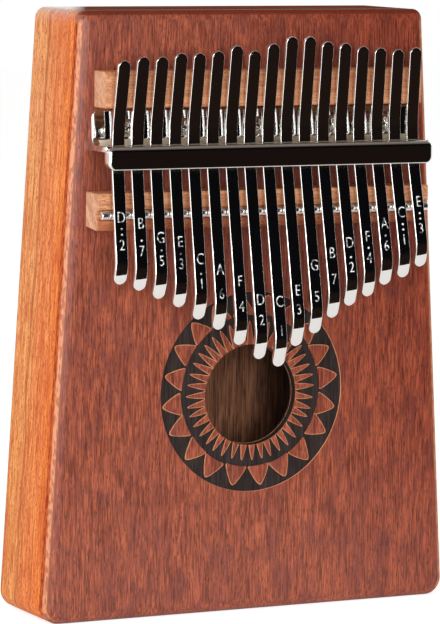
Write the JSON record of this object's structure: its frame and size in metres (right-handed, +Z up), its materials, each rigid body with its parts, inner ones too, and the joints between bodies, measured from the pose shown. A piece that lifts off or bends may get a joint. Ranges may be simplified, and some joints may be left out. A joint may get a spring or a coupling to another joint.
{
  "type": "thumb piano",
  "caption": "Thumb piano with a hollow wooden body, a round sound hole, and sprung steel keys that a screwed pressure bar holds down over wooden bridges.",
  "frame": {"origin": "middle of the body's bottom end face, on which the instrument stands", "axes": "+Z up along the keys to the tail end, +X to the right as one faces the keys, the soundboard faces -Y"},
  "size_m": [0.1338, 0.0541, 0.18],
  "materials": {
    "soundboard_wood": "satin varnish",
    "body_wood": "satin varnish",
    "bridge_wood": "bare, sanded",
    "steel": "nickel plated",
    "key_steel": "polished spring steel",
    "chrome": "bright chrome plate"
  },
  "bodies": {
    "instrument": {"hollow_body": "body_wood", "soundboard": "soundboard_wood", "rear_bridge": "bridge_wood", "front_bridge": "bridge_wood", "bridge_rod": "steel", "pressure_bracket": "chrome", "bracket_screw_1": "steel", "bracket_screw_2": "steel", "bracket_screw_3": "steel", "bracket_screw_4": "steel", "bracket_screw_5": "steel"},
    "tang_01": {"tine_01_tang": "key_steel"},
    "tongue_01": {"tine_01_tongue": "key_steel"},
    "tang_02": {"tine_02_tang": "key_steel"},
    "tongue_02": {"tine_02_tongue": "key_steel"},
    "tang_03": {"tine_03_tang": "key_steel"},
    "tongue_03": {"tine_03_tongue": "key_steel"},
    "tang_04": {"tine_04_tang": "key_steel"},
    "tongue_04": {"tine_04_tongue": "key_steel"},
    "tang_05": {"tine_05_tang": "key_steel"},
    "tongue_05": {"tine_05_tongue": "key_steel"},
    "tang_06": {"tine_06_tang": "key_steel"},
    "tongue_06": {"tine_06_tongue": "key_steel"},
    "tang_07": {"tine_07_tang": "key_steel"},
    "tongue_07": {"tine_07_tongue": "key_steel"},
    "tang_08": {"tine_08_tang": "key_steel"},
    "tongue_08": {"tine_08_tongue": "key_steel"},
    "tang_09": {"tine_09_tang": "key_steel"},
    "tongue_09": {"tine_09_tongue": "key_steel"},
    "tang_10": {"tine_10_tang": "key_steel"},
    "tongue_10": {"tine_10_tongue": "key_steel"},
    "tang_11": {"tine_11_tang": "key_steel"},
    "tongue_11": {"tine_11_tongue": "key_steel"},
    "tang_12": {"tine_12_tang": "key_steel"},
    "tongue_12": {"tine_12_tongue": "key_steel"},
    "tang_13": {"tine_13_tang": "key_steel"},
    "tongue_13": {"tine_13_tongue": "key_steel"},
    "tang_14": {"tine_14_tang": "key_steel"},
    "tongue_14": {"tine_14_tongue": "key_steel"},
    "tang_15": {"tine_15_tang": "key_steel"},
    "tongue_15": {"tine_15_tongue": "key_steel"},
    "tang_16": {"tine_16_tang": "key_steel"},
    "tongue_16": {"tine_16_tongue": "key_steel"},
    "tang_17": {"tine_17_tang": "key_steel"},
    "tongue_17": {"tine_17_tongue": "key_steel"}
  },
  "joints": [
    {"name": "tine_01_tuning", "type": "slide", "parent": "instrument", "child": "tang_01", "axis": [0.0323, 0, 0.9995], "range_m": [-0.0008, 0.0008]},
    {"name": "tine_01_spring", "type": "hinge", "parent": "tang_01", "child": "tongue_01", "pos_m": [-0.0494, -0.02802, 0.12111], "axis": [0.9995, 0, -0.0323], "range_deg": [-2, 3], "stiffness_Nm_per_rad": 17.6},
    {"name": "tine_02_tuning", "type": "slide", "parent": "instrument", "child": "tang_02", "axis": [0.0282, 0, 0.9996], "range_m": [-0.0008, 0.0008]},
    {"name": "tine_02_spring", "type": "hinge", "parent": "tang_02", "child": "tongue_02", "pos_m": [-0.04323, -0.02802, 0.12111], "axis": [0.9996, 0, -0.0282], "range_deg": [-2, 3], "stiffness_Nm_per_rad": 15.9},
    {"name": "tine_03_tuning", "type": "slide", "parent": "instrument", "child": "tang_03", "axis": [0.0242, 0, 0.9997], "range_m": [-0.0008, 0.0008]},
    {"name": "tine_03_spring", "type": "hinge", "parent": "tang_03", "child": "tongue_03", "pos_m": [-0.03705, -0.02802, 0.12111], "axis": [0.9997, 0, -0.0242], "range_deg": [-2, 3], "stiffness_Nm_per_rad": 14.2},
    {"name": "tine_04_tuning", "type": "slide", "parent": "instrument", "child": "tang_04", "axis": [0.0202, 0, 0.9998], "range_m": [-0.0008, 0.0008]},
    {"name": "tine_04_spring", "type": "hinge", "parent": "tang_04", "child": "tongue_04", "pos_m": [-0.03088, -0.02802, 0.1211], "axis": [0.9998, 0, -0.0202], "range_deg": [-2, 3], "stiffness_Nm_per_rad": 12.8},
    {"name": "tine_05_tuning", "type": "slide", "parent": "instrument", "child": "tang_05", "axis": [0.0161, 0, 0.9999], "range_m": [-0.0008, 0.0008]},
    {"name": "tine_05_spring", "type": "hinge", "parent": "tang_05", "child": "tongue_05", "pos_m": [-0.0247, -0.02802, 0.1211], "axis": [0.9999, 0, -0.0161], "range_deg": [-2, 3], "stiffness_Nm_per_rad": 11.2},
    {"name": "tine_06_tuning", "type": "slide", "parent": "instrument", "child": "tang_06", "axis": [0.0121, 0, 0.9999], "range_m": [-0.0008, 0.0008]},
    {"name": "tine_06_spring", "type": "hinge", "parent": "tang_06", "child": "tongue_06", "pos_m": [-0.01853, -0.02802, 0.1211], "axis": [0.9999, 0, -0.0121], "range_deg": [-2, 3], "stiffness_Nm_per_rad": 10.1},
    {"name": "tine_07_tuning", "type": "slide", "parent": "instrument", "child": "tang_07", "axis": [0.0081, 0, 1], "range_m": [-0.0008, 0.0008]},
    {"name": "tine_07_spring", "type": "hinge", "parent": "tang_07", "child": "tongue_07", "pos_m": [-0.01235, -0.02802, 0.1211], "axis": [1, 0, -0.0081], "range_deg": [-2, 3], "stiffness_Nm_per_rad": 8.9},
    {"name": "tine_08_tuning", "type": "slide", "parent": "instrument", "child": "tang_08", "axis": [0.004, 0, 1], "range_m": [-0.0008, 0.0008]},
    {"name": "tine_08_spring", "type": "hinge", "parent": "tang_08", "child": "tongue_08", "pos_m": [-0.00617, -0.02802, 0.1211], "axis": [1, 0, -0.004], "range_deg": [-2, 3], "stiffness_Nm_per_rad": 7.9},
    {"name": "tine_09_tuning", "type": "slide", "parent": "instrument", "child": "tang_09", "axis": [0, 0, 1], "range_m": [-0.0008, 0.0008]},
    {"name": "tine_09_spring", "type": "hinge", "parent": "tang_09", "child": "tongue_09", "pos_m": [0, -0.02802, 0.1211], "axis": [1, 0, 0], "range_deg": [-2, 3], "stiffness_Nm_per_rad": 7.5},
    {"name": "tine_10_tuning", "type": "slide", "parent": "instrument", "child": "tang_10", "axis": [-0.004, 0, 1], "range_m": [-0.0008, 0.0008]},
    {"name": "tine_10_spring", "type": "hinge", "parent": "tang_10", "child": "tongue_10", "pos_m": [0.00617, -0.02802, 0.1211], "axis": [1, 0, 0.004], "range_deg": [-2, 3], "stiffness_Nm_per_rad": 8.6},
    {"name": "tine_11_tuning", "type": "slide", "parent": "instrument", "child": "tang_11", "axis": [-0.0081, 0, 1], "range_m": [-0.0008, 0.0008]},
    {"name": "tine_11_spring", "type": "hinge", "parent": "tang_11", "child": "tongue_11", "pos_m": [0.01235, -0.02802, 0.1211], "axis": [1, 0, 0.0081], "range_deg": [-2, 3], "stiffness_Nm_per_rad": 9.4},
    {"name": "tine_12_tuning", "type": "slide", "parent": "instrument", "child": "tang_12", "axis": [-0.0121, 0, 0.9999], "range_m": [-0.0008, 0.0008]},
    {"name": "tine_12_spring", "type": "hinge", "parent": "tang_12", "child": "tongue_12", "pos_m": [0.01853, -0.02802, 0.1211], "axis": [0.9999, 0, 0.0121], "range_deg": [-2, 3], "stiffness_Nm_per_rad": 10.7},
    {"name": "tine_13_tuning", "type": "slide", "parent": "instrument", "child": "tang_13", "axis": [-0.0161, 0, 0.9999], "range_m": [-0.0008, 0.0008]},
    {"name": "tine_13_spring", "type": "hinge", "parent": "tang_13", "child": "tongue_13", "pos_m": [0.0247, -0.02802, 0.1211], "axis": [0.9999, 0, 0.0161], "range_deg": [-2, 3], "stiffness_Nm_per_rad": 12},
    {"name": "tine_14_tuning", "type": "slide", "parent": "instrument", "child": "tang_14", "axis": [-0.0202, 0, 0.9998], "range_m": [-0.0008, 0.0008]},
    {"name": "tine_14_spring", "type": "hinge", "parent": "tang_14", "child": "tongue_14", "pos_m": [0.03088, -0.02802, 0.1211], "axis": [0.9998, 0, 0.0202], "range_deg": [-2, 3], "stiffness_Nm_per_rad": 13.2},
    {"name": "tine_15_tuning", "type": "slide", "parent": "instrument", "child": "tang_15", "axis": [-0.0242, 0, 0.9997], "range_m": [-0.0008, 0.0008]},
    {"name": "tine_15_spring", "type": "hinge", "parent": "tang_15", "child": "tongue_15", "pos_m": [0.03705, -0.02802, 0.12111], "axis": [0.9997, 0, 0.0242], "range_deg": [-2, 3], "stiffness_Nm_per_rad": 15},
    {"name": "tine_16_tuning", "type": "slide", "parent": "instrument", "child": "tang_16", "axis": [-0.0282, 0, 0.9996], "range_m": [-0.0008, 0.0008]},
    {"name": "tine_16_spring", "type": "hinge", "parent": "tang_16", "child": "tongue_16", "pos_m": [0.04323, -0.02802, 0.12111], "axis": [0.9996, 0, 0.0282], "range_deg": [-2, 3], "stiffness_Nm_per_rad": 16.5},
    {"name": "tine_17_tuning", "type": "slide", "parent": "instrument", "child": "tang_17", "axis": [-0.0323, 0, 0.9995], "range_m": [-0.0008, 0.0008]},
    {"name": "tine_17_spring", "type": "hinge", "parent": "tang_17", "child": "tongue_17", "pos_m": [0.0494, -0.02802, 0.12111], "axis": [0.9995, 0, 0.0323], "range_deg": [-2, 3], "stiffness_Nm_per_rad": 19.4}
  ]
}
